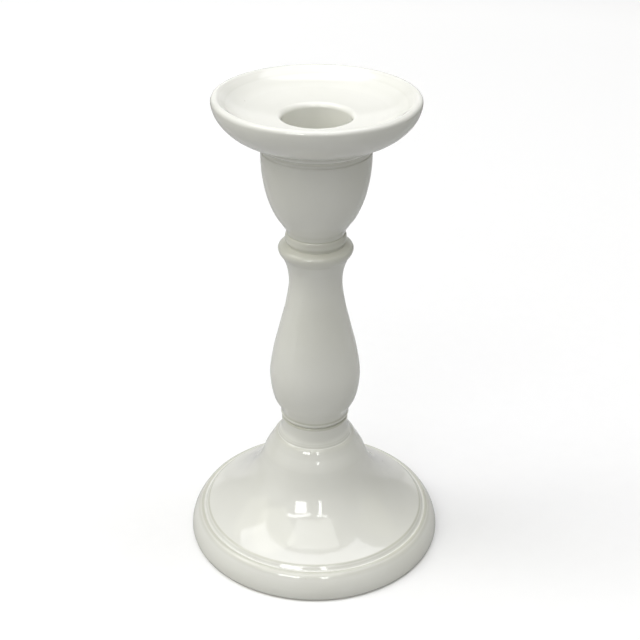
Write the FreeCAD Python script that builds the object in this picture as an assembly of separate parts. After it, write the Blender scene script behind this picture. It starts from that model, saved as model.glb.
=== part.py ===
import FreeCAD, Part
import os

# Candlestick for one taper candle, in white glazed ceramic. Millimetres, +Z up.
# The origin is the centre of the foot, on the surface that the candlestick stands on.
# Four hollow castings are stuck one on another with liquid clay (luting slip). Each casting has
# a round spigot below that goes down into a socket in the casting under it.

# Whole object
TOTAL_HEIGHT = 170.0
FOOT_RADIUS = 46.5
PAN_RADIUS = 34.05

# Candle socket, for a standard taper candle of 22 mm diameter
CANDLE_RADIUS = 11.0
SOCKET_RADIUS = CANDLE_RADIUS + 0.5
SOCKET_MOUTH_Z = 163.4
SOCKET_DEPTH = 25.0
SOCKET_FLOOR_Z = SOCKET_MOUTH_Z - SOCKET_DEPTH
SOCKET_FLOOR_FILLET = 1.5
LIP_WIDTH = 1.5

# Candle nozzle: the tube under the drip pan that holds the candle inside the cup
NOZZLE_WALL = 2.5
NOZZLE_RADIUS = SOCKET_RADIUS + NOZZLE_WALL
NOZZLE_FLOOR = 3.0
NOZZLE_CORNER = 3.5

# Joints: heights of the seams, and the layer of luting slip in each one
PAN_SEAM_Z = 151.8
CUP_SEAM_Z = 118.3
STEM_SEAM_Z = 49.7
SLIP = 0.4
SPIGOT_LENGTH = 8.0
SOCKET_SLACK = 0.3

CUP_SPIGOT_RADIUS = 6.0
CUP_SPIGOT_BORE = 3.5
STEM_SPIGOT_RADIUS = 7.6
STEM_SPIGOT_BORE = 4.6

# Radius of the slip layer's outer edge in each seam
PAN_SEAM_RADIUS = 18.25
CUP_SEAM_RADIUS = 10.0
STEM_SEAM_RADIUS = 11.3

# Cup and baluster
CUP_RADIUS = 18.4
CUP_MOUTH_Z = 140.0
CREASE_RADIUS = 9.85
CREASE_Z = 122.15
BELLY_RADIUS = 16.1
NECK_RADIUS = 9.25
NECK_BORE = 4.8
BEAD_RADIUS = 12.9

# Foot
COLLAR_RADIUS = 12.0
COLLAR_BORE = 5.6
GROOVE_RADIUS = 41.45
GROOVE_Z = 9.45
FOOT_RING_INNER = 42.6
FOOT_RING_EDGE = 1.3


class Outline:
    """Half of a round section, as (radius, height) points, to be turned about the Z axis."""

    def __init__(self, radius, height):
        self.start = FreeCAD.Vector(radius, 0, height)
        self.end = self.start
        self.edges = []

    def _add(self, geometry, end):
        self.edges.append(geometry.toShape())
        self.end = end
        return self

    def line(self, radius, height):
        end = FreeCAD.Vector(radius, 0, height)
        return self._add(Part.LineSegment(self.end, end), end)

    def round(self, corner, to):
        """A quarter round from the last point to a new one, tangent to the sides of the corner."""
        end = FreeCAD.Vector(to[0], 0, to[1])
        sharp = FreeCAD.Vector(corner[0], 0, corner[1])
        centre = self.end + end - sharp
        middle = centre + (sharp - centre) * (0.5 ** 0.5)
        return self._add(Part.Arc(self.end, middle, end), end)

    def curve(self, points, leaving, arriving):
        """A smooth curve through the points, with its direction given at both ends.

        Each span is a cubic. At a point between two spans the direction is that of the parabola
        through the point and its two neighbours.
        """
        places = [self.end] + [FreeCAD.Vector(r, 0, z) for r, z in points]
        spans = [after - before for before, after in zip(places, places[1:])]
        directions = [FreeCAD.Vector(leaving[0], 0, leaving[1]).normalize()]
        for before, after in zip(spans, spans[1:]):
            weight = after.Length / (before.Length + after.Length)
            directions.append(before / before.Length * weight + after / after.Length * (1 - weight))
        directions.append(FreeCAD.Vector(arriving[0], 0, arriving[1]).normalize())
        for index, span in enumerate(spans):
            first, last = places[index], places[index + 1]
            handle = span.Length / 3
            cubic = Part.BezierCurve()
            cubic.setPoles([
                first,
                first + directions[index] * handle,
                last - directions[index + 1] * handle,
                last,
            ])
            self._add(cubic, last)
        return self

    def solid(self):
        if self.end.distanceToPoint(self.start) > 1e-6:
            self.line(self.start.x, self.start.z)
        section = Part.Face(Part.Wire(self.edges))
        return section.revolve(FreeCAD.Vector(0, 0, 0), FreeCAD.Vector(0, 0, 1), 360)


def slip_layer(seam_z, seam_radius, spigot_radius):
    """Luting slip in one joint: a thin flange in the seam and a thin sleeve round the spigot."""
    shape = Outline(spigot_radius, seam_z + SLIP)
    shape.line(seam_radius, seam_z + SLIP)
    shape.line(seam_radius, seam_z)
    shape.line(spigot_radius + SLIP, seam_z)
    shape.line(spigot_radius + SLIP, seam_z - SPIGOT_LENGTH + SLIP)
    shape.line(spigot_radius, seam_z - SPIGOT_LENGTH + SLIP)
    return shape.solid()


def drip_pan():
    """Saucer with a rolled rim, in one casting with the closed nozzle that holds the candle."""
    nozzle_bottom_z = SOCKET_FLOOR_Z - NOZZLE_FLOOR
    seat_z = PAN_SEAM_Z + SLIP
    shape = Outline(0, nozzle_bottom_z)
    shape.line(NOZZLE_RADIUS - NOZZLE_CORNER, nozzle_bottom_z)
    shape.round((NOZZLE_RADIUS, nozzle_bottom_z), (NOZZLE_RADIUS, nozzle_bottom_z + NOZZLE_CORNER))
    shape.line(NOZZLE_RADIUS, seat_z)
    # Seat on the cup, cove, and the stepped ring under the pan
    shape.line(PAN_SEAM_RADIUS, seat_z)
    shape.curve([(18.7, 153.5), (19.45, 154.1)], leaving=(0.1, 1), arriving=(1, 0.2))
    shape.curve([(19.85, 154.5), (20.1, 155.8)], leaving=(1, 0.2), arriving=(0.3, 1))
    # Underside of the pan up to its widest point, then the rolled rim
    shape.curve(
        [(23.6, 157.0), (27.0, 158.5), (30.7, 161.5), (33.3, 165.3), (PAN_RADIUS, 168.6)],
        leaving=(1, 0.25),
        arriving=(0, 1),
    )
    shape.curve([(33.6, 169.6), (32.5, TOTAL_HEIGHT)], leaving=(0, 1), arriving=(-1, 0))
    # Inside of the rim, the dish and the rounded lip of the socket
    shape.curve(
        [(31.2, 169.3), (29.3, 167.75), (26.8, 166.15), (23.5, 164.95), (19.5, 164.15), (15.9, 163.65),
         (SOCKET_RADIUS + LIP_WIDTH, SOCKET_MOUTH_Z)],
        leaving=(-1, 0),
        arriving=(-1, -0.05),
    )
    shape.curve(
        [(SOCKET_RADIUS, SOCKET_MOUTH_Z - 1.7)], leaving=(-1, -0.05), arriving=(0, -1)
    )
    # Candle socket
    shape.line(SOCKET_RADIUS, SOCKET_FLOOR_Z + SOCKET_FLOOR_FILLET)
    shape.round((SOCKET_RADIUS, SOCKET_FLOOR_Z), (SOCKET_RADIUS - SOCKET_FLOOR_FILLET, SOCKET_FLOOR_Z))
    shape.line(0, SOCKET_FLOOR_Z)
    return shape.solid()


def candle_cup():
    """Bell-shaped cup round the nozzle, with a small turned ring and a spigot below."""
    mouth_radius = NOZZLE_RADIUS + SLIP
    seat_z = CUP_SEAM_Z + SLIP
    spigot_bottom_z = CUP_SEAM_Z - SPIGOT_LENGTH + SLIP
    shape = Outline(CUP_SPIGOT_BORE, spigot_bottom_z)
    shape.line(CUP_SPIGOT_RADIUS, spigot_bottom_z)
    shape.line(CUP_SPIGOT_RADIUS, seat_z)
    # Narrow band above the seam, and the crease above it
    shape.line(CUP_SEAM_RADIUS, seat_z)
    shape.curve([(10.5, 119.7), (10.35, 121.3)], leaving=(0.6, 1), arriving=(-0.1, 1))
    shape.curve([(CREASE_RADIUS, CREASE_Z)], leaving=(-0.1, 1), arriving=(-1, 0.4))
    # Outside of the bell
    shape.curve(
        [(10.3, 123.75), (11.45, 125.6), (13.65, 128.9), (16.0, 134.2), (17.7, 141.3),
         (CUP_RADIUS, 150.5)],
        leaving=(0.2, 1),
        arriving=(0, 1),
    )
    shape.line(CUP_RADIUS, PAN_SEAM_Z - CUP_RADIUS + PAN_SEAM_RADIUS)
    shape.round((CUP_RADIUS, PAN_SEAM_Z), (PAN_SEAM_RADIUS, PAN_SEAM_Z))
    # Inside: a straight mouth for the nozzle, then a bowl down to the vent hole
    shape.line(mouth_radius, PAN_SEAM_Z)
    shape.line(mouth_radius, CUP_MOUTH_Z)
    shape.curve(
        [(13.2, 134.5), (10.8, 129.9), (7.0, 126.7), (CUP_SPIGOT_BORE, 125.8)],
        leaving=(0, -1),
        arriving=(-1, -0.1),
    )
    return shape.solid()


def baluster_stem():
    """Hollow baluster from its foot ring to the bead under the cup, with a spigot below."""
    seat_z = STEM_SEAM_Z + SLIP
    spigot_bottom_z = STEM_SEAM_Z - SPIGOT_LENGTH + SLIP
    socket_radius = CUP_SPIGOT_RADIUS + SLIP
    socket_floor_z = CUP_SEAM_Z - SPIGOT_LENGTH - SOCKET_SLACK
    shape = Outline(STEM_SPIGOT_BORE, spigot_bottom_z)
    shape.line(STEM_SPIGOT_RADIUS, spigot_bottom_z)
    shape.line(STEM_SPIGOT_RADIUS, seat_z)
    # Rounded ring at the bottom of the baluster, and the shallow cove above it
    shape.line(STEM_SEAM_RADIUS, seat_z)
    shape.curve([(12.38, 50.9), (12.1, 51.8)], leaving=(1, 0.15), arriving=(0, 1))
    # Outside: belly and neck, the flare under the bead, and the bead
    shape.curve(
        [(14.75, 57.8), (BELLY_RADIUS, 66.3), (14.85, 76.7), (12.5, 86.4), (10.2, 96.3),
         (NECK_RADIUS, 103.8)],
        leaving=(0.15, 1),
        arriving=(0, 1),
    )
    shape.curve(
        [(10.0, 109.7), (11.4, 113.3), (12.65, 115.3), (BEAD_RADIUS, 116.3)],
        leaving=(0, 1),
        arriving=(0, 1),
    )
    shape.curve(
        [(12.35, 117.45), (11.25, 118.0), (CUP_SEAM_RADIUS, CUP_SEAM_Z)],
        leaving=(0, 1),
        arriving=(-1, 0.2),
    )
    # Inside: socket for the cup, then the hollow of the casting
    shape.line(socket_radius, CUP_SEAM_Z)
    shape.line(socket_radius, socket_floor_z)
    shape.line(NECK_BORE, socket_floor_z)
    shape.curve(
        [(5.6, 103.0), (7.9, 90.0), (11.2, 77.0), (12.3, 66.5), (10.8, 58.0), (7.5, 53.5),
         (STEM_SPIGOT_BORE, 51.0)],
        leaving=(0, -1),
        arriving=(-0.5, -1),
    )
    return shape.solid()


def foot():
    """Flared hollow foot: collar and socket on top, a groove and a rounded rim below."""
    socket_radius = STEM_SPIGOT_RADIUS + SLIP
    socket_floor_z = STEM_SEAM_Z - SPIGOT_LENGTH - SOCKET_SLACK
    shape = Outline(socket_radius, STEM_SEAM_Z)
    # Collar, a little waisted, with a thin lip and a crease under it
    edge_z = STEM_SEAM_Z - COLLAR_RADIUS + STEM_SEAM_RADIUS
    shape.line(STEM_SEAM_RADIUS, STEM_SEAM_Z)
    shape.round((COLLAR_RADIUS, STEM_SEAM_Z), (COLLAR_RADIUS, edge_z))
    shape.curve(
        [(12.0, 46.4), (12.35, 44.3), (13.0, 43.15), (13.45, 42.2)],
        leaving=(0, -1),
        arriving=(0.3, -1),
    )
    # Outside of the flare: a full shoulder that turns into a wide trumpet
    shape.curve(
        [(16.1, 38.4), (18.25, 34.6), (19.5, 31.5), (21.5, 27.3), (24.6, 22.8), (30.6, 16.9),
         (GROOVE_RADIUS - 1.6, GROOVE_Z + 1.6)],
        leaving=(1, -0.65),
        arriving=(1, -0.45),
    )
    # Groove, rounded rim and the edge of the foot ring
    shape.curve(
        [(GROOVE_RADIUS - 0.7, GROOVE_Z + 0.75), (GROOVE_RADIUS, GROOVE_Z),
         (GROOVE_RADIUS + 0.8, GROOVE_Z + 0.15), (43.3, 9.0), (44.6, 7.3), (45.9, 4.7),
         (FOOT_RADIUS, FOOT_RING_EDGE)],
        leaving=(1, -0.45),
        arriving=(0, -1),
    )
    shape.round((FOOT_RADIUS, 0), (FOOT_RADIUS - FOOT_RING_EDGE, 0))
    shape.line(FOOT_RING_INNER, 0)
    # Inside of the bell, up to the floor of the stem's socket
    shape.curve(
        [(41.6, 1.6), (39.8, 5.8), (36.0, 8.9), (29.5, 12.6), (22.8, 18.2), (18.2, 24.4),
         (15.5, 30.0), (12.5, 34.2), (8.8, 37.2), (COLLAR_BORE, 38.4)],
        leaving=(-1, 0.4),
        arriving=(-1, 0.2),
    )
    shape.line(COLLAR_BORE, socket_floor_z)
    shape.line(socket_radius, socket_floor_z)
    return shape.solid()


PIECES = {
    "drip_pan": drip_pan(),
    "pan_luting_slip": slip_layer(PAN_SEAM_Z, PAN_SEAM_RADIUS, NOZZLE_RADIUS),
    "candle_cup": candle_cup(),
    "cup_luting_slip": slip_layer(CUP_SEAM_Z, CUP_SEAM_RADIUS, CUP_SPIGOT_RADIUS),
    "baluster_stem": baluster_stem(),
    "stem_luting_slip": slip_layer(STEM_SEAM_Z, STEM_SEAM_RADIUS, STEM_SPIGOT_RADIUS),
    "foot": foot(),
}

os.makedirs("parts", exist_ok=True)
for name, piece in PIECES.items():
    piece.exportStep(f"parts/{name}.step")
    box = piece.optimalBoundingBox()
    print(f"{name}: {piece.ShapeType}, valid {piece.isValid()}, {piece.Volume / 1000:.2f} cm3, "
          f"radius {box.XMax:.2f}, Z {box.ZMin:.2f} to {box.ZMax:.2f}")
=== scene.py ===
import math

import bmesh
import bpy
from mathutils import Matrix, Vector, noise


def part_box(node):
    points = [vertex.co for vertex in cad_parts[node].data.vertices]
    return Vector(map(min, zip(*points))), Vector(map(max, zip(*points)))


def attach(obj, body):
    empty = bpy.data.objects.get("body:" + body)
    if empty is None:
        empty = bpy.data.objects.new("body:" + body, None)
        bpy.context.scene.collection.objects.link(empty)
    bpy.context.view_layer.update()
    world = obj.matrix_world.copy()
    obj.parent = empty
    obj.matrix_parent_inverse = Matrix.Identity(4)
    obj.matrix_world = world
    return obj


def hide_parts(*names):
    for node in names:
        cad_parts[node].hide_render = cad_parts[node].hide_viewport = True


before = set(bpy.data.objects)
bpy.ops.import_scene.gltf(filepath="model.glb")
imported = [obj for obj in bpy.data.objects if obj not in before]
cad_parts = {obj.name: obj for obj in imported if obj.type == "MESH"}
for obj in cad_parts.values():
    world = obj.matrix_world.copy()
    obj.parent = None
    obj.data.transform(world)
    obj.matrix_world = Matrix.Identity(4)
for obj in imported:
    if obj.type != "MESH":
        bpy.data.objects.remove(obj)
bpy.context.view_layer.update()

# Candlestick of white glazed ceramic. Outlines are in millimetres, as (radius, height) about the Z
# axis, and the meshes are in metres. Widest radii and the heights of the joints come from the frame.
MM = 0.001
SEGMENTS = 288
FINE_STEP = 0.32
COARSE_STEP = 1.6
SHARP_TURN = math.radians(32)
SAME_PLACE = 1e-6


def top(node):
    """Height of the node's top, in millimetres."""
    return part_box(node)[1].z / MM


def radius(node):
    """Widest radius of the node, in millimetres."""
    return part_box(node)[1].x / MM


TOTAL_HEIGHT = top("drip_pan")
PAN_SEAM_Z = top("candle_cup")
CUP_SEAM_Z = top("baluster_stem")
STEM_SEAM_Z = top("foot")
SLIP = top("pan_luting_slip") - PAN_SEAM_Z
FOOT_RADIUS = radius("foot")
PAN_RADIUS = radius("drip_pan")
CUP_RADIUS = radius("candle_cup")
BELLY_RADIUS = radius("baluster_stem")
PAN_SEAM_RADIUS = radius("pan_luting_slip")
CUP_SEAM_RADIUS = radius("cup_luting_slip")
STEM_SEAM_RADIUS = radius("stem_luting_slip")

# Candle socket and nozzle
SOCKET_RADIUS = 11.5
SOCKET_MOUTH_Z = 163.4
SOCKET_DEPTH = 25.0
SOCKET_FLOOR_Z = SOCKET_MOUTH_Z - SOCKET_DEPTH
SOCKET_FLOOR_FILLET = 1.5
LIP_WIDTH = 1.5
LIP_DROP = 1.7
NOZZLE_RADIUS = SOCKET_RADIUS + 2.5
NOZZLE_FLOOR_Z = SOCKET_FLOOR_Z - 3.0
NOZZLE_CORNER = 3.5

# Spigots and their sockets
SPIGOT_LENGTH = 8.0
SOCKET_SLACK = 0.3
CUP_SPIGOT_RADIUS = 6.0
CUP_SPIGOT_BORE = 3.5
STEM_SPIGOT_RADIUS = 7.6
STEM_SPIGOT_BORE = 4.6
CUP_MOUTH_Z = 140.0
CREASE_RADIUS = 9.85
CREASE_Z = 122.15
NECK_BORE = 4.8
COLLAR_BORE = 5.6

# Outside of the stem and the foot
NECK_RADIUS = 9.25
BEAD_RADIUS = 12.9
COLLAR_RADIUS = 12.0
GROOVE_RADIUS = 41.45
GROOVE_Z = 9.45
FOOT_RING_INNER = 42.6
FOOT_RING_EDGE = 1.3

# How far the glaze in a seam stands out
SEAM_SWELL = 0.06

# Two pinholes in the glaze, painted as dark spots that stand for each pit and the shade inside it: in
# the dish at the left, and on the back of the foot at the right
PINHOLES = ((-23.6, 7.6, 165.0), (26.5, 14.9, 17.1))
PINHOLE_REACH = (0.12, 0.42)

# Relief of the glaze coat: how far it swells and sinks, over waves of two sizes
RELIEF = 0.06
RELIEF_WAVE = 15.0
RIPPLE = 0.022
RIPPLE_WAVE = 4.5
RELIEF_FADE = 2.0

# Where the colour starts to darken in the hollows (glaze pooling and painted shade) and to lighten on
# the edges (a painted highlight), and where it does so fully, by the bend of the outline
POOLING_AND_SHADE_BENDS = (0.03, 0.55)
EDGE_HIGHLIGHT_BENDS = (-0.15, -0.9)
EDGE_HIGHLIGHT_MOST = 0.2

# Painted shade round the bead and the band over it, in the colour of the hollows: fully within the first
# distance of the seam
BEAD_SHADE_REACH = (3.2, 6.0)
BEAD_SHADE_MOST = 0.6

# Heights between which the glaze starts over the bare clay of the foot ring
BARE_HEIGHTS = (0.1, 0.5)

# Patterns in the glaze: clouds of uneven colour, iron specks and orange peel
CLOUD_SCALE = 38
SPECK_SCALE = 900
PEEL_SCALE = 420
PEEL_DEPTH = 0.00002
PEEL_STRENGTH = 0.25

PATCH_COLOUR = (0.93, 0.93, 0.90, 1)
SPECK_COLOUR = (0.72, 0.68, 0.58, 1)
PINHOLE_SHADE_COLOUR = (0.22, 0.19, 0.15, 1)
CLAY_COLOUR = (0.74, 0.68, 0.58, 1)
CLAY_ROUGHNESS = 0.75
GLAZE_ROUGHNESS = (0.045, 0.085)
GLAZE_IOR = 1.6

# Backdrop and table, in metres
BACKDROP_REACH = 1.3
TABLE_REACH = 0.48
TABLE_HEIGHT = -0.0002
ROUND_SIDES = 96

# Distance of the daylight and of its glints in the glaze, in metres. Two lights that lie in one plane
# hide each other, so the glints are a little nearer.
DAYLIGHT_DISTANCE = 1.2
GLINT_DISTANCE = 1.18


class Outline:
    """Half of a round section, sampled along its edge, to be turned about the Z axis.

    Each sample is (radius, height, exposed). Exposed stretches carry the relief of the glaze.
    """

    def __init__(self, radius, height):
        self.exposed = False
        self.samples = [(radius, height, False)]

    def end(self):
        return Vector(self.samples[-1][:2])

    def show(self):
        self.exposed = True

    def hide(self):
        self.exposed = False

    def _run(self, place, length):
        """Samples of place(t) for t above 0 up to 1."""
        step = FINE_STEP if self.exposed else COARSE_STEP
        count = max(2, math.ceil(length / step))
        for index in range(1, count + 1):
            point = place(index / count)
            self.samples.append((point[0], point[1], self.exposed))

    def line(self, radius, height):
        start = self.end()
        finish = Vector((radius, height))
        self._run(lambda t: start.lerp(finish, t), (finish - start).length)

    def round(self, corner, to):
        """A quarter round from the last point to a new one, tangent to the sides of the corner."""
        start = self.end()
        sharp = Vector(corner)
        finish = Vector(to)
        centre = start + finish - sharp

        def place(t):
            turn = t * math.pi / 2
            return centre + (start - centre) * math.cos(turn) + (finish - centre) * math.sin(turn)

        self._run(place, (finish - start).length * 2)

    def curve(self, points, leaving, arriving):
        """A smooth curve through the points, with its direction given at both ends.

        Each span is a cubic. At a point between two spans the direction is that of the parabola
        through the point and its two neighbours.
        """
        places = [self.end()] + [Vector(p) for p in points]
        spans = [after - before for before, after in zip(places, places[1:])]
        directions = [Vector(leaving).normalized()]
        for before, after in zip(spans, spans[1:]):
            weight = after.length / (before.length + after.length)
            directions.append(before.normalized() * weight + after.normalized() * (1 - weight))
        directions.append(Vector(arriving).normalized())
        for index, span in enumerate(spans):
            handle = span.length / 3
            first, last = places[index], places[index + 1]
            second = first + directions[index] * handle
            third = last - directions[index + 1] * handle

            def place(t):
                s = 1 - t
                return first * s ** 3 + second * 3 * s * s * t + third * 3 * s * t * t + last * t ** 3

            self._run(place, span.length)


def relief_weights(samples):
    """For each sample, 1 where the glaze is free and 0 where it meets a seam or is hidden."""
    travel = [0.0]
    for before, after in zip(samples, samples[1:]):
        travel.append(travel[-1] + math.dist(before[:2], after[:2]))
    hidden = [along for along, sample in zip(travel, samples) if not sample[2]]
    weights = []
    for along, sample in zip(travel, samples):
        gap = min((abs(along - other) for other in hidden), default=RELIEF_FADE)
        share = min(gap / RELIEF_FADE, 1.0) if sample[2] else 0.0
        weights.append(share * share * (3 - 2 * share))
    return weights


def around(samples, index):
    """The samples before and after the one at index, on an outline that is a loop."""
    return samples[index - 1], samples[(index + 1) % len(samples)]


def step_between(first, second):
    """The step from one sample to another, as a vector."""
    return Vector((second[0] - first[0], second[1] - first[1]))


def bends_of(samples):
    """How much the outline turns at each sample, in radians for each millimetre: plus is a hollow.

    It is 0 at the seams and where the outline is hidden.
    """
    bends = []
    for index, sample in enumerate(samples):
        before, after = around(samples, index)
        if not (before[2] and sample[2] and after[2]):
            bends.append(0.0)
            continue
        incoming = step_between(before, sample)
        outgoing = step_between(sample, after)
        length = (incoming.length + outgoing.length) / 2
        bends.append(incoming.angle_signed(outgoing) / length)
    return bends


def swell(place, offset):
    """Height of the glaze relief at a place on the surface, in millimetres."""
    return RELIEF * noise.noise(place / RELIEF_WAVE + offset) + RIPPLE * noise.noise(
        place / RIPPLE_WAVE - offset
    )


def ring_of(samples, index, weight, offset):
    """The vertices that one sample gives, in metres: a ring with the relief, or one on the axis."""
    r, z, _ = samples[index]
    if r < SAME_PLACE:
        return [(0.0, 0.0, z * MM)]
    before, after = around(samples, index)
    along = step_between(before, after).normalized()
    outward = Vector((along.y, -along.x))
    ring = []
    for step in range(SEGMENTS):
        turn = math.tau * step / SEGMENTS
        c, s = math.cos(turn), math.sin(turn)
        rise = 0.0
        if weight > 0:
            rise = weight * swell(Vector((r * c, r * s, z)), offset)
        out = r + outward.x * rise
        ring.append((out * c * MM, out * s * MM, (z + outward.y * rise) * MM))
    return ring


def faces_between(low, high):
    """The faces between two rings of vertices, either of which may be a single one on the axis."""
    faces = []
    for step in range(SEGMENTS):
        after = (step + 1) % SEGMENTS
        if len(low) == 1:
            faces.append((low[0], high[after], high[step]))
        elif len(high) == 1:
            faces.append((low[step], low[after], high[0]))
        else:
            faces.append((low[step], low[after], high[after], high[step]))
    return faces


def mark_sharp(mesh, samples, rings):
    """Marks as sharp each ring of edges where the outline turns a corner."""
    corners = set()
    for index, sample in enumerate(samples):
        before, after = around(samples, index)
        incoming = step_between(before, sample)
        outgoing = step_between(sample, after)
        if incoming.length > 0 and outgoing.length > 0 and incoming.angle(outgoing) > SHARP_TURN:
            corners.update(rings[index])
    sharp = [edge.vertices[0] in corners and edge.vertices[1] in corners for edge in mesh.edges]
    mesh.attributes.new("sharp_edge", "BOOLEAN", "EDGE").data.foreach_set("value", sharp)


def linked(name, data):
    """A new object with this data, in the scene."""
    made = bpy.data.objects.new(name, data)
    bpy.context.scene.collection.objects.link(made)
    return made


def turned(name, outline, offset):
    """The closed mesh object that an outline gives, turned about the Z axis, with the glaze's relief.

    The offset shifts the relief, so that it differs from piece to piece. The attribute "pool" holds
    the bend of the outline for the material.
    """
    samples = outline.samples
    closed = math.dist(samples[0][:2], samples[-1][:2]) < SAME_PLACE
    if closed:
        samples = samples[:-1]
    weights = relief_weights(samples)
    vertices = []
    pools = []
    rings = []
    for index, bend in enumerate(bends_of(samples)):
        ring = ring_of(samples, index, weights[index], Vector(offset))
        rings.append(range(len(vertices), len(vertices) + len(ring)))
        vertices.extend(ring)
        pools.extend([bend] * len(ring))
    pairs = list(zip(rings, rings[1:]))
    if closed:
        pairs.append((rings[-1], rings[0]))
    faces = [face for low, high in pairs for face in faces_between(low, high)]
    mesh = bpy.data.meshes.new(name)
    mesh.from_pydata(vertices, [], faces)
    mesh.update()
    mark_sharp(mesh, samples, rings)
    # The bend drives the colour: glaze pooling and painted shade in the hollows, a painted highlight on
    # the edges
    mesh.attributes.new("outline_bend", "FLOAT", "POINT").data.foreach_set("value", pools)
    mesh.shade_smooth()
    return linked(name, mesh)


def drip_pan():
    """Saucer with a rolled rim, and the closed nozzle under it that holds the candle."""
    seat_z = PAN_SEAM_Z + SLIP
    shape = Outline(0, NOZZLE_FLOOR_Z)
    shape.line(NOZZLE_RADIUS - NOZZLE_CORNER, NOZZLE_FLOOR_Z)
    shape.round((NOZZLE_RADIUS, NOZZLE_FLOOR_Z), (NOZZLE_RADIUS, NOZZLE_FLOOR_Z + NOZZLE_CORNER))
    shape.line(NOZZLE_RADIUS, seat_z)
    shape.line(PAN_SEAM_RADIUS, seat_z)
    # Cove and stepped ring, underside of the pan, then the rolled rim
    shape.show()
    shape.curve([(18.7, 153.5), (19.45, 154.1)], leaving=(0.1, 1), arriving=(1, 0.2))
    shape.curve([(19.85, 154.5), (20.1, 155.8)], leaving=(1, 0.2), arriving=(0.3, 1))
    shape.curve(
        [(23.6, 157.0), (27.0, 158.5), (30.7, 161.5), (33.3, 165.3), (PAN_RADIUS, 168.6)],
        leaving=(1, 0.25),
        arriving=(0, 1),
    )
    shape.curve([(33.6, 169.6), (32.5, TOTAL_HEIGHT)], leaving=(0, 1), arriving=(-1, 0))
    # Inside of the rim, the dish and the rounded lip of the socket
    shape.curve(
        [(31.2, 169.3), (29.3, 167.75), (26.8, 166.15), (23.5, 164.95), (19.5, 164.15), (15.9, 163.65),
         (SOCKET_RADIUS + LIP_WIDTH, SOCKET_MOUTH_Z)],
        leaving=(-1, 0),
        arriving=(-1, -0.05),
    )
    shape.curve([(SOCKET_RADIUS, SOCKET_MOUTH_Z - LIP_DROP)], leaving=(-1, -0.05), arriving=(0, -1))
    shape.line(SOCKET_RADIUS, SOCKET_FLOOR_Z + SOCKET_FLOOR_FILLET)
    shape.round((SOCKET_RADIUS, SOCKET_FLOOR_Z), (SOCKET_RADIUS - SOCKET_FLOOR_FILLET, SOCKET_FLOOR_Z))
    shape.line(0, SOCKET_FLOOR_Z)
    return turned("pan_glazed", shape, (3.1, 0.4, 7.7))


def candle_cup():
    """Bell-shaped cup round the nozzle, with a small turned ring and a spigot below."""
    mouth_radius = NOZZLE_RADIUS + SLIP
    seat_z = CUP_SEAM_Z + SLIP
    spigot_bottom_z = CUP_SEAM_Z - SPIGOT_LENGTH + SLIP
    shape = Outline(CUP_SPIGOT_BORE, spigot_bottom_z)
    shape.line(CUP_SPIGOT_RADIUS, spigot_bottom_z)
    shape.line(CUP_SPIGOT_RADIUS, seat_z)
    shape.line(CUP_SEAM_RADIUS, seat_z)
    # Narrow band above the seam, the crease above it, and the outside of the bell
    shape.show()
    shape.curve([(10.5, 119.7), (10.35, 121.3)], leaving=(0.6, 1), arriving=(-0.1, 1))
    shape.curve([(CREASE_RADIUS, CREASE_Z)], leaving=(-0.1, 1), arriving=(-1, 0.4))
    shape.curve(
        [(10.3, 123.75), (11.45, 125.6), (13.65, 128.9), (16.0, 134.2), (17.7, 141.3),
         (CUP_RADIUS, 150.5)],
        leaving=(0.2, 1),
        arriving=(0, 1),
    )
    shape.line(CUP_RADIUS, PAN_SEAM_Z - CUP_RADIUS + PAN_SEAM_RADIUS)
    shape.round((CUP_RADIUS, PAN_SEAM_Z), (PAN_SEAM_RADIUS, PAN_SEAM_Z))
    # Inside: a straight mouth for the nozzle, then a bowl down to the vent hole
    shape.hide()
    shape.line(mouth_radius, PAN_SEAM_Z)
    shape.line(mouth_radius, CUP_MOUTH_Z)
    shape.curve(
        [(13.2, 134.5), (10.8, 129.9), (7.0, 126.7), (CUP_SPIGOT_BORE, 125.8)],
        leaving=(0, -1),
        arriving=(-1, -0.1),
    )
    shape.line(CUP_SPIGOT_BORE, spigot_bottom_z)
    return turned("cup_glazed", shape, (8.2, 5.5, 1.3))


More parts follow.
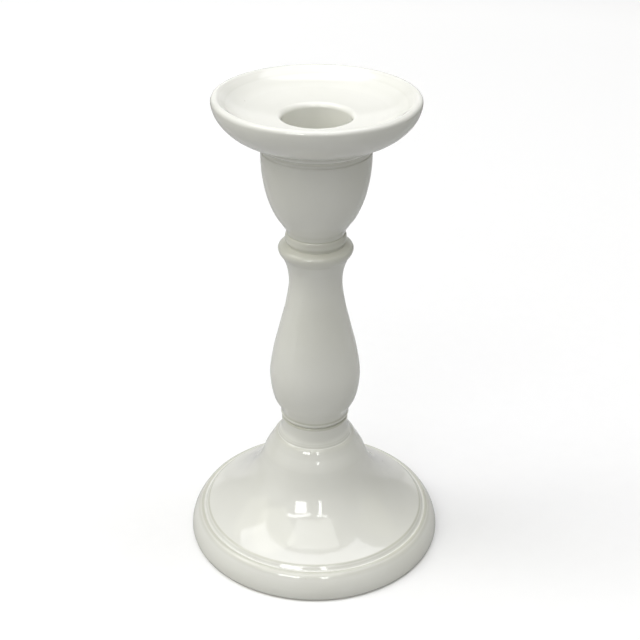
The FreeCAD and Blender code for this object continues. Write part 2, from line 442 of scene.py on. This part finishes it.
def baluster_stem():
    """Hollow baluster from its foot ring to the bead under the cup, with a spigot below."""
    seat_z = STEM_SEAM_Z + SLIP
    spigot_bottom_z = STEM_SEAM_Z - SPIGOT_LENGTH + SLIP
    socket_radius = CUP_SPIGOT_RADIUS + SLIP
    socket_floor_z = CUP_SEAM_Z - SPIGOT_LENGTH - SOCKET_SLACK
    shape = Outline(STEM_SPIGOT_BORE, spigot_bottom_z)
    shape.line(STEM_SPIGOT_RADIUS, spigot_bottom_z)
    shape.line(STEM_SPIGOT_RADIUS, seat_z)
    shape.line(STEM_SEAM_RADIUS, seat_z)
    # Rounded ring, belly and neck, the flare under the bead, and the bead
    shape.show()
    shape.curve([(12.38, 50.9), (12.1, 51.8)], leaving=(1, 0.15), arriving=(0, 1))
    shape.curve(
        [(14.75, 57.8), (BELLY_RADIUS, 66.3), (14.85, 76.7), (12.5, 86.4), (10.2, 96.3),
         (NECK_RADIUS, 103.8)],
        leaving=(0.15, 1),
        arriving=(0, 1),
    )
    shape.curve(
        [(10.0, 109.7), (11.4, 113.3), (12.65, 115.3), (BEAD_RADIUS, 116.3)],
        leaving=(0, 1),
        arriving=(0, 1),
    )
    shape.curve(
        [(12.35, 117.45), (11.25, 118.0), (CUP_SEAM_RADIUS, CUP_SEAM_Z)],
        leaving=(0, 1),
        arriving=(-1, 0.2),
    )
    # Inside: socket for the cup, then the hollow of the casting
    shape.hide()
    shape.line(socket_radius, CUP_SEAM_Z)
    shape.line(socket_radius, socket_floor_z)
    shape.line(NECK_BORE, socket_floor_z)
    shape.curve(
        [(5.6, 103.0), (7.9, 90.0), (11.2, 77.0), (12.3, 66.5), (10.8, 58.0), (7.5, 53.5),
         (STEM_SPIGOT_BORE, 51.0)],
        leaving=(0, -1),
        arriving=(-0.5, -1),
    )
    shape.line(STEM_SPIGOT_BORE, spigot_bottom_z)
    return turned("stem_glazed", shape, (1.7, 9.1, 4.2))


def foot():
    """Flared hollow foot: collar and socket on top, a groove and a rounded rim below."""
    socket_radius = STEM_SPIGOT_RADIUS + SLIP
    socket_floor_z = STEM_SEAM_Z - SPIGOT_LENGTH - SOCKET_SLACK
    edge_z = STEM_SEAM_Z - COLLAR_RADIUS + STEM_SEAM_RADIUS
    shape = Outline(socket_radius, STEM_SEAM_Z)
    shape.line(STEM_SEAM_RADIUS, STEM_SEAM_Z)
    # Collar, a little waisted, with a thin lip and a crease under it
    shape.show()
    shape.round((COLLAR_RADIUS, STEM_SEAM_Z), (COLLAR_RADIUS, edge_z))
    shape.curve(
        [(12.0, 46.4), (12.35, 44.3), (13.0, 43.15), (13.45, 42.2)],
        leaving=(0, -1),
        arriving=(0.3, -1),
    )
    # Outside of the flare: a full shoulder that turns into a wide trumpet
    shape.curve(
        [(16.1, 38.4), (18.25, 34.6), (19.5, 31.5), (21.5, 27.3), (24.6, 22.8), (30.6, 16.9),
         (GROOVE_RADIUS - 1.6, GROOVE_Z + 1.6)],
        leaving=(1, -0.65),
        arriving=(1, -0.45),
    )
    # Groove, rounded rim and the edge of the foot ring
    shape.curve(
        [(GROOVE_RADIUS - 0.7, GROOVE_Z + 0.75), (GROOVE_RADIUS, GROOVE_Z),
         (GROOVE_RADIUS + 0.8, GROOVE_Z + 0.15), (43.3, 9.0), (44.6, 7.3), (45.9, 4.7),
         (FOOT_RADIUS, FOOT_RING_EDGE)],
        leaving=(1, -0.45),
        arriving=(0, -1),
    )
    shape.hide()
    shape.round((FOOT_RADIUS, 0), (FOOT_RADIUS - FOOT_RING_EDGE, 0))
    shape.line(FOOT_RING_INNER, 0)
    # Inside of the bell, up to the floor of the stem's socket
    shape.curve(
        [(41.6, 1.6), (39.8, 5.8), (36.0, 8.9), (29.5, 12.6), (22.8, 18.2), (18.2, 24.4),
         (15.5, 30.0), (12.5, 34.2), (8.8, 37.2), (COLLAR_BORE, 38.4)],
        leaving=(-1, 0.4),
        arriving=(-1, 0.2),
    )
    shape.line(COLLAR_BORE, socket_floor_z)
    shape.line(socket_radius, socket_floor_z)
    shape.line(socket_radius, STEM_SEAM_Z)
    return turned("foot_glazed", shape, (6.4, 2.9, 0.8))


def luting_slip(name, seam_z, seam_radius, spigot_radius):
    """Luting slip in one joint. Its outer edge swells a little, as the glaze has filled the seam."""
    shape = Outline(spigot_radius, seam_z + SLIP)
    shape.line(seam_radius, seam_z + SLIP)
    shape.curve(
        [(seam_radius + SEAM_SWELL, seam_z + SLIP / 2), (seam_radius, seam_z)],
        leaving=(0.5, -1),
        arriving=(-0.5, -1),
    )
    shape.line(spigot_radius + SLIP, seam_z)
    shape.line(spigot_radius + SLIP, seam_z - SPIGOT_LENGTH + SLIP)
    shape.line(spigot_radius, seam_z - SPIGOT_LENGTH + SLIP)
    shape.line(spigot_radius, seam_z + SLIP)
    return turned(name, shape, (0, 0, 0))


def material(name):
    """A new node material, with its nodes, its links and its Principled shader."""
    made = bpy.data.materials.new(name)
    made.use_nodes = True
    nodes = made.node_tree.nodes
    return made, nodes, made.node_tree.links, nodes["Principled BSDF"]


def noise_field(nodes, links, scale, detail, place):
    """Noise from 0 to 1 at a place given in metres. Its waves are about 1 / scale metres long."""
    field = nodes.new("ShaderNodeTexNoise")
    field.inputs["Scale"].default_value = scale
    field.inputs["Detail"].default_value = detail
    links.new(place, field.inputs["Vector"])
    return field.outputs["Fac"]


def ramp(nodes, links, value, low, high, out_low, out_high):
    """Value, from low to high, mapped to out_low to out_high and held at the ends."""
    mapped = nodes.new("ShaderNodeMapRange")
    mapped.inputs["From Min"].default_value = low
    mapped.inputs["From Max"].default_value = high
    mapped.inputs["To Min"].default_value = out_low
    mapped.inputs["To Max"].default_value = out_high
    links.new(value, mapped.inputs["Value"])
    return mapped.outputs["Result"]


def tint(nodes, links, amount, base, colour, blend="MIX"):
    """Base mixed towards colour by amount. Base is a colour or a socket."""
    mixed = nodes.new("ShaderNodeMix")
    mixed.data_type = "RGBA"
    mixed.blend_type = blend
    links.new(amount, mixed.inputs["Factor"])
    if isinstance(base, tuple):
        mixed.inputs["A"].default_value = base
    else:
        links.new(base, mixed.inputs["A"])
    mixed.inputs["B"].default_value = colour
    return mixed.outputs["Result"]


def near(nodes, links, place, spot, inner, outer):
    """1 within inner millimetres of a spot, and 0 beyond outer millimetres."""
    gap = nodes.new("ShaderNodeVectorMath")
    gap.operation = "DISTANCE"
    links.new(place, gap.inputs[0])
    gap.inputs[1].default_value = Vector(spot) * MM
    return ramp(nodes, links, gap.outputs["Value"], inner * MM, outer * MM, 1.0, 0.0)


def glaze_colour(nodes, links, place, height, cloud, colours):
    """Body colour, darker in the hollows from glaze pooling and painted shade, lighter on the edges from
    a painted highlight, patchy, specked with iron, with dark painted pinholes and painted shade round
    the bead.
    """
    body, pooled_and_shaded, highlight_colour = colours
    outline_bend = nodes.new("ShaderNodeAttribute")
    outline_bend.attribute_name = "outline_bend"
    bend = outline_bend.outputs["Fac"]
    # Darker in the hollows: glaze pooling there, and painted shade
    pooling_and_shade = ramp(nodes, links, bend, *POOLING_AND_SHADE_BENDS, 0.0, 1.0)
    # Lighter on the convex edges: a painted highlight
    edge_highlight = ramp(nodes, links, bend, *EDGE_HIGHLIGHT_BENDS, 0.0, EDGE_HIGHLIGHT_MOST)
    patchy = ramp(nodes, links, cloud, 0.35, 0.7, 0.0, 0.35)
    specks = ramp(nodes, links, noise_field(nodes, links, SPECK_SCALE, 2, place), 0.74, 0.80, 0.0, 0.25)
    colour = tint(nodes, links, pooling_and_shade, body, pooled_and_shaded)
    colour = tint(nodes, links, edge_highlight, colour, highlight_colour)
    colour = tint(nodes, links, patchy, colour, PATCH_COLOUR, "MULTIPLY")
    colour = tint(nodes, links, specks, colour, SPECK_COLOUR, "MULTIPLY")
    # Pinholes painted as dark spots, for each pit and the shade inside it; the mesh has no pits
    for spot in PINHOLES:
        hole = near(nodes, links, place, spot, *PINHOLE_REACH)
        colour = tint(nodes, links, hole, colour, PINHOLE_SHADE_COLOUR)
    # The height alone, as a place on the axis, so that the distance is the same all round
    axis = nodes.new("ShaderNodeCombineXYZ")
    links.new(height, axis.inputs["Z"])
    # Painted shade in a band round the bead and the band over it
    level = near(nodes, links, axis.outputs["Vector"], (0, 0, CUP_SEAM_Z), *BEAD_SHADE_REACH)
    bead_shade = ramp(nodes, links, level, 0.0, 1.0, 0.0, BEAD_SHADE_MOST)
    return tint(nodes, links, bead_shade, colour, pooled_and_shaded)


def glaze(name, body_colour, pooled_and_shaded_colour, edge_highlight_colour):
    """Glossy white glaze with a faint orange peel.

    The glaze is wiped off the flat ring that the foot stands on, so the bare clay shows there.
    """
    made, nodes, links, shader = material(name)
    place = nodes.new("ShaderNodeTexCoord").outputs["Object"]
    axes = nodes.new("ShaderNodeSeparateXYZ")
    links.new(place, axes.inputs["Vector"])
    height = axes.outputs["Z"]
    cloud = noise_field(nodes, links, CLOUD_SCALE, 3, place)
    colours = (body_colour, pooled_and_shaded_colour, edge_highlight_colour)
    colour = glaze_colour(nodes, links, place, height, cloud, colours)
    bare = ramp(nodes, links, height, BARE_HEIGHTS[0] * MM, BARE_HEIGHTS[1] * MM, 1.0, 0.0)
    colour = tint(nodes, links, bare, colour, CLAY_COLOUR)
    links.new(colour, shader.inputs["Base Color"])
    smooth = ramp(nodes, links, cloud, 0.3, 0.7, *GLAZE_ROUGHNESS)
    rough = nodes.new("ShaderNodeMix")
    links.new(bare, rough.inputs["Factor"])
    links.new(smooth, rough.inputs["A"])
    rough.inputs["B"].default_value = CLAY_ROUGHNESS
    links.new(rough.outputs["Result"], shader.inputs["Roughness"])
    shader.inputs["IOR"].default_value = GLAZE_IOR
    # Orange peel
    peel = noise_field(nodes, links, PEEL_SCALE, 1, place)
    bump = nodes.new("ShaderNodeBump")
    bump.inputs["Strength"].default_value = PEEL_STRENGTH
    bump.inputs["Distance"].default_value = PEEL_DEPTH
    links.new(peel, bump.inputs["Height"])
    links.new(bump.outputs["Normal"], shader.inputs["Normal"])
    return made


def paper(name, brightness, glow, start, full):
    """White paper with a faint fibre pattern, and light of its own from start to full metres away."""
    made, nodes, links, shader = material(name)
    place = nodes.new("ShaderNodeTexCoord").outputs["Object"]
    fibre = noise_field(nodes, links, 140, 4, place)
    base = (brightness, brightness, brightness, 1)
    colour = tint(nodes, links, fibre, base, (0.98, 0.98, 0.98, 1), "MULTIPLY")
    links.new(colour, shader.inputs["Base Color"])
    shader.inputs["Roughness"].default_value = 0.9
    shader.inputs["Emission Color"].default_value = (1, 1, 1, 1)
    reach = nodes.new("ShaderNodeVectorMath")
    reach.operation = "LENGTH"
    links.new(place, reach.inputs[0])
    light = ramp(nodes, links, reach.outputs["Value"], start, full, 0.0, glow)
    links.new(light, shader.inputs["Emission Strength"])
    return made


def staged(name, mesh, surface):
    """An object of this mesh and material that isn't part of the candlestick."""
    mesh.materials.append(surface)
    made = linked(name, mesh)
    return made


def disc(name, reach, height, surface):
    """A round flat floor."""
    corners = []
    for step in range(ROUND_SIDES):
        turn = math.tau * step / ROUND_SIDES
        corners.append((reach * math.cos(turn), reach * math.sin(turn), height))
    mesh = bpy.data.meshes.new(name)
    mesh.from_pydata(corners, [], [tuple(range(ROUND_SIDES))])
    return staged(name, mesh, surface)


def dome(name, reach, surface):
    """A half sphere of seamless paper round the table, with its edge on the floor."""
    shell = bmesh.new()
    bmesh.ops.create_uvsphere(shell, u_segments=ROUND_SIDES, v_segments=ROUND_SIDES // 2, radius=reach)
    below = [vertex for vertex in shell.verts if vertex.co.z < -MM]
    bmesh.ops.delete(shell, geom=below, context="VERTS")
    mesh = bpy.data.meshes.new(name)
    shell.to_mesh(mesh)
    shell.free()
    mesh.shade_smooth()
    return staged(name, mesh, surface)


def add_floors():
    """White paper that only the camera sees, and a duller table under it that lights the object."""
    white = paper("white_paper", brightness=0.91, glow=0.26, start=0.15, full=0.75)
    pale = paper("wall_paper", brightness=0.3, glow=0.85, start=0.1, full=0.2)
    dull = paper("dull_paper", brightness=0.5, glow=0.0, start=0.1, full=0.4)
    floor = disc("backdrop_floor", BACKDROP_REACH, 0, white)
    wall = dome("backdrop_wall", BACKDROP_REACH, pale)
    for backdrop in (floor, wall):
        backdrop.visible_diffuse = False
        backdrop.visible_glossy = False
        backdrop.visible_shadow = False
    table = disc("table", TABLE_REACH, TABLE_HEIGHT, dull)
    table.visible_camera = False


def softbox(name, azimuth, elevation, distance, size, strength, colour=(1, 1, 1)):
    """A rectangular light that faces the foot. Azimuth 0 is on the camera's side, and 90 is at +X."""
    light = bpy.data.lights.new(name, "AREA")
    light.shape = "RECTANGLE"
    light.size, light.size_y = size
    light.energy = strength * size[0] * size[1] * math.pi
    light.color = colour
    box = linked(name, light)
    turn, rise = math.radians(azimuth), math.radians(elevation)
    outward = Vector((math.sin(turn) * math.cos(rise), -math.cos(turn) * math.cos(rise), math.sin(rise)))
    box.location = outward * distance
    box.rotation_euler = outward.to_track_quat("Z", "Y").to_euler()
    box.visible_camera = False
    return box


def add_overhead():
    """A strip overhead, a little to the left: its daylight, then its weaker glint in the glaze."""
    for name, height, strength in (
        ("overhead_strip", DAYLIGHT_DISTANCE, 3.8),
        ("overhead_glint", GLINT_DISTANCE, 2.0),
    ):
        overhead = softbox(name, 0, 90, height, (1.92, 0.58), strength, (1.0, 1.0, 1.06))
        overhead.location = (-0.24, 0.05, height)
        overhead.rotation_euler = (0, 0, 0)
        overhead.visible_glossy = name == "overhead_glint"
        overhead.visible_diffuse = name == "overhead_strip"


def add_room():
    """A strip in front, weak light at the sides and the back, and the walls of the room."""
    softbox("front_strip", 0, 62, 1.2, (0.8, 0.5), 1.6, (1.0, 1.0, 0.95))
    softbox("side_left_high", -67, 52, 1.3, (0.8, 0.8), 1.0, (1.0, 1.0, 0.8))
    softbox("side_left", -95, 35, 1.2, (0.6, 0.6), 0.75, (1.0, 0.98, 0.8))
    softbox("side_right", 95, 35, 1.2, (0.6, 0.6), 0.5, (1.0, 1.0, 0.7))
    softbox("back", 180, 14, 1.2, (1.4, 0.55), 0.5)
    softbox("front_wall", -10, 45, 1.3, (1.6, 0.8), 0.27)
    wall = softbox("wall_left", -78, 6, 1.25, (1.0, 0.9), 0.3)
    wall.visible_diffuse = False


def add_windows():
    """Two windows behind the camera: their daylight, then what shows of them in the glaze."""
    for name, azimuth, elevation, size, daylight in (
        ("window_left", -25, 33.5, (0.66, 0.5), 1.5),
        ("window_right", 13.5, 34.0, (0.29, 0.47), 0.5),
    ):
        daylight_box = softbox(name, azimuth, elevation, DAYLIGHT_DISTANCE, size, daylight)
        daylight_box.visible_glossy = False
    for name, azimuth, elevation, size, glint in (
        ("pane_left", -23, 36, (0.34, 0.26), 8.0),
        ("lintel_left", -25, 45, (0.60, 0.05), 6.0),
        ("pane_right", 10.5, 36, (0.09, 0.32), 8.0),
        ("lintel_right", 14, 45, (0.26, 0.05), 6.0),
    ):
        glint_box = softbox(name, azimuth, elevation, GLINT_DISTANCE, size, glint)
        glint_box.visible_diffuse = False


def add_world():
    """Weak even light from all round, and colours shown as they are."""
    world = bpy.data.worlds.new("studio")
    world.use_nodes = True
    world.node_tree.nodes["Background"].inputs["Color"].default_value = (0.18, 0.18, 0.17, 1)
    bpy.context.scene.world = world
    bpy.context.scene.view_settings.view_transform = "Standard"


def add_camera():
    """A camera a little under half a metre away that looks down at the middle of the candlestick."""
    pitch = math.radians(28.95)
    distance = 0.4333
    target = Vector((0, 0, 0.0879))
    data = bpy.data.cameras.new("camera")
    data.lens = 69.36
    data.sensor_width = 36
    data.shift_x = 0.0072
    camera = linked("camera", data)
    camera.location = target + distance * Vector((0, -math.cos(pitch), math.sin(pitch)))
    roll = Matrix.Rotation(math.radians(0.36), 4, "Z")
    aim = Matrix.Rotation(math.pi / 2 - pitch, 4, "X")
    camera.rotation_euler = (aim @ roll).to_euler()
    bpy.context.scene.camera = camera


def finish_piece(piece, node, surface):
    """Gives a piece its material, hangs it under the root body, and hides the node that it stands for.
    """
    piece.data.materials.append(surface)
    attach(piece, "root")
    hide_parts(node)


add_camera()
add_floors()
add_overhead()
add_room()
add_windows()
add_world()

# Each glaze: its body colour, the darker colour of glaze pooling and painted shade, and the lighter
# colour of the painted highlight on the edges
white_glaze = glaze("white_glaze", (0.765, 0.765, 0.72, 1), (0.62, 0.62, 0.55, 1), (0.86, 0.86, 0.83, 1))
fired_slip = glaze("fired_slip", (0.745, 0.745, 0.69, 1), (0.65, 0.65, 0.59, 1), (0.84, 0.84, 0.80, 1))

finish_piece(drip_pan(), "drip_pan", white_glaze)
finish_piece(candle_cup(), "candle_cup", white_glaze)
finish_piece(baluster_stem(), "baluster_stem", white_glaze)
finish_piece(foot(), "foot", white_glaze)
for seam, seam_z, seam_radius, spigot_radius in (
    ("pan", PAN_SEAM_Z, PAN_SEAM_RADIUS, NOZZLE_RADIUS),
    ("cup", CUP_SEAM_Z, CUP_SEAM_RADIUS, CUP_SPIGOT_RADIUS),
    ("stem", STEM_SEAM_Z, STEM_SEAM_RADIUS, STEM_SPIGOT_RADIUS),
):
    ring = luting_slip(seam + "_slip_ring", seam_z, seam_radius, spigot_radius)
    finish_piece(ring, seam + "_luting_slip", fired_slip)
